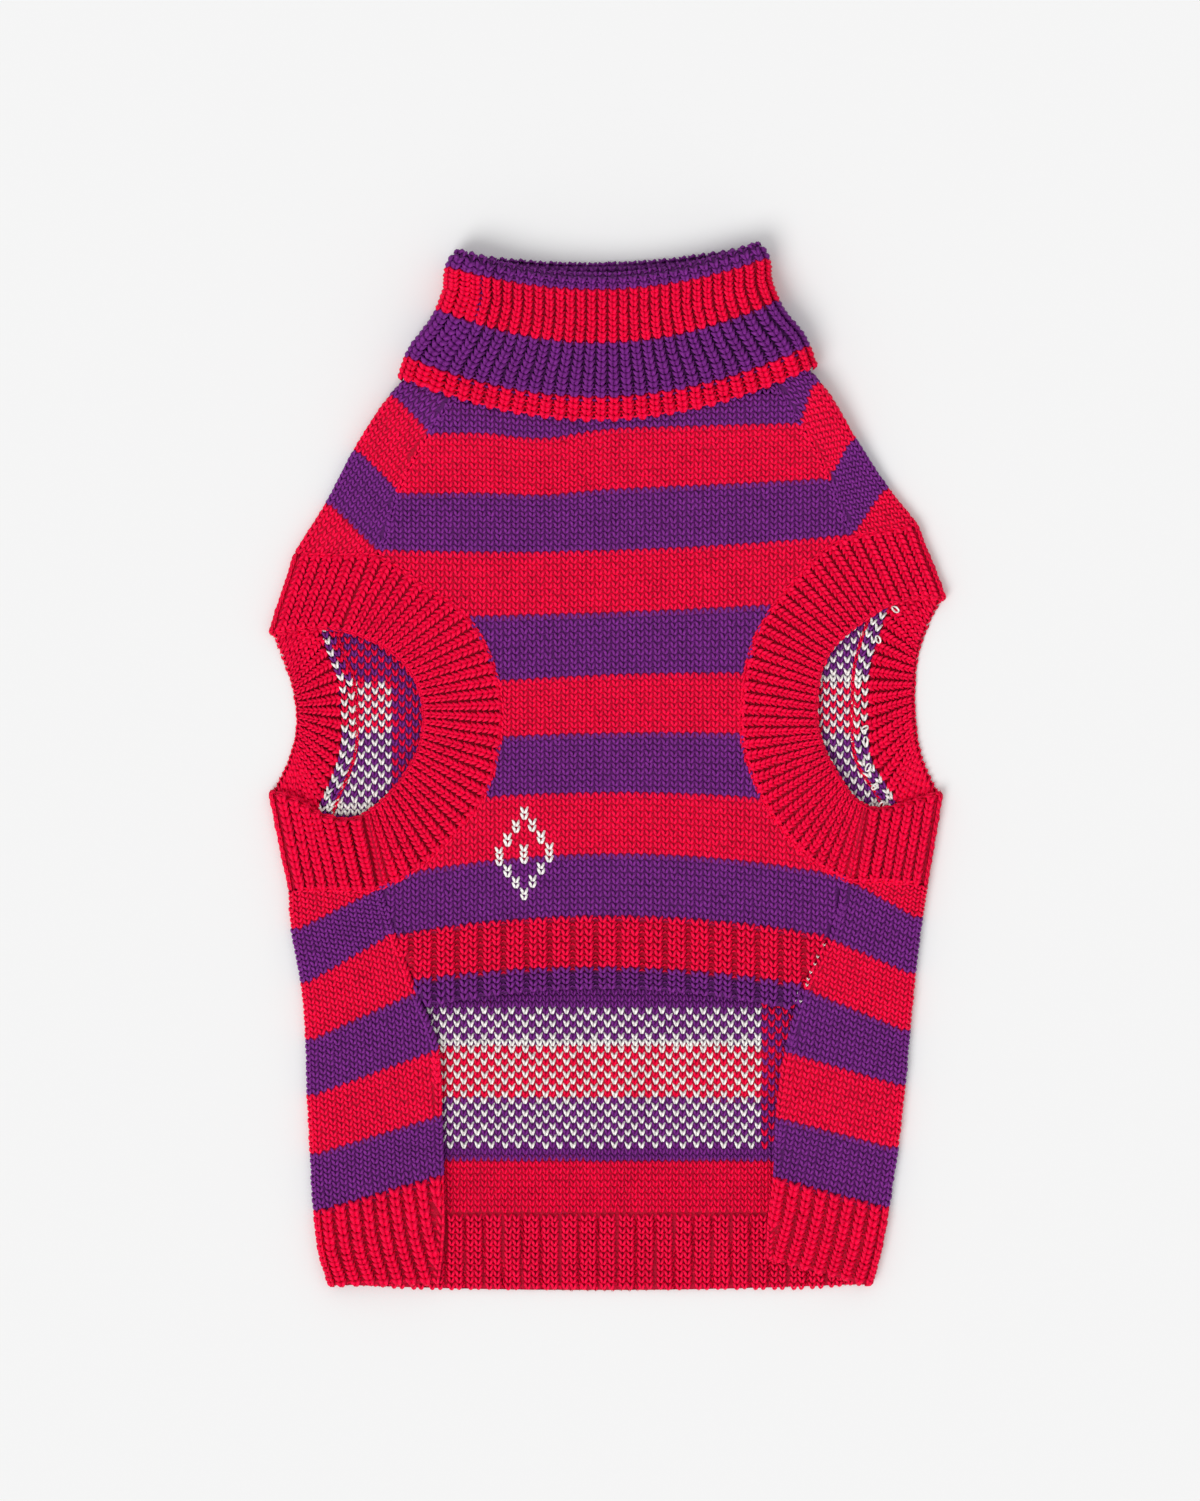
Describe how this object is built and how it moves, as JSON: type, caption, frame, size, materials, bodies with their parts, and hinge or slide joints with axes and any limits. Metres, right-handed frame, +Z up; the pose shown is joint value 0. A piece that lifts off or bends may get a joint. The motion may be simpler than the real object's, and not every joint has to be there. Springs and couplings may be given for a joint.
{
  "type": "dog sweater",
  "caption": "Knitted dog sweater with a folded ribbed collar, ribbed armholes and striped body, laid flat belly side up.",
  "frame": {"origin": "middle of the underside of the laid sweater, on the surface that it rests on", "axes": "+Y from the hem to the collar, +X to the right as seen from above, +Z up from the surface"},
  "size_m": [0.2844, 0.4402, 0.0157],
  "materials": {
    "knit_red": "matt knitted cotton, crimson",
    "knit_purple": "matt knitted cotton, purple"
  },
  "bodies": {
    "root": {"back": "knit_purple", "belly": "knit_red", "sleeve_left": "knit_red", "sleeve_right": "knit_red", "armband_left": "knit_red", "armband_right": "knit_red", "collar": "knit_purple"}
  },
  "joints": []
}
